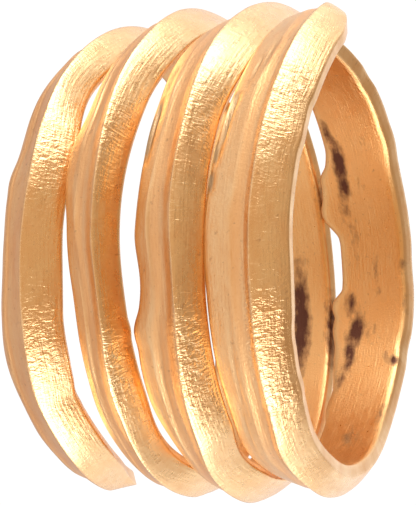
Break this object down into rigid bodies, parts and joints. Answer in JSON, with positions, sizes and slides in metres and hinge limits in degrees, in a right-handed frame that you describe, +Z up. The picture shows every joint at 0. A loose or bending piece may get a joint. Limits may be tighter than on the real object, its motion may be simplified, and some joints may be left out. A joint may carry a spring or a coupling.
{
  "type": "coil ring",
  "caption": "Finger ring wound as an open coil from one keeled strip of hammered gold, with blunt free ends and a clear round bore.",
  "frame": {"origin": "under the middle of the ring's box, on the surface that it lies on", "axes": "+X along the finger hole towards the end whose free end points up, +Z up; the hole's axis stands 2.1 degrees above level at +X"},
  "size_m": [0.0122, 0.0198, 0.0196],
  "materials": {
    "gold": "satin hammered gold, worn bright on the crests, brown stains inside"
  },
  "bodies": {
    "root": {"coil": "gold"}
  },
  "joints": []
}
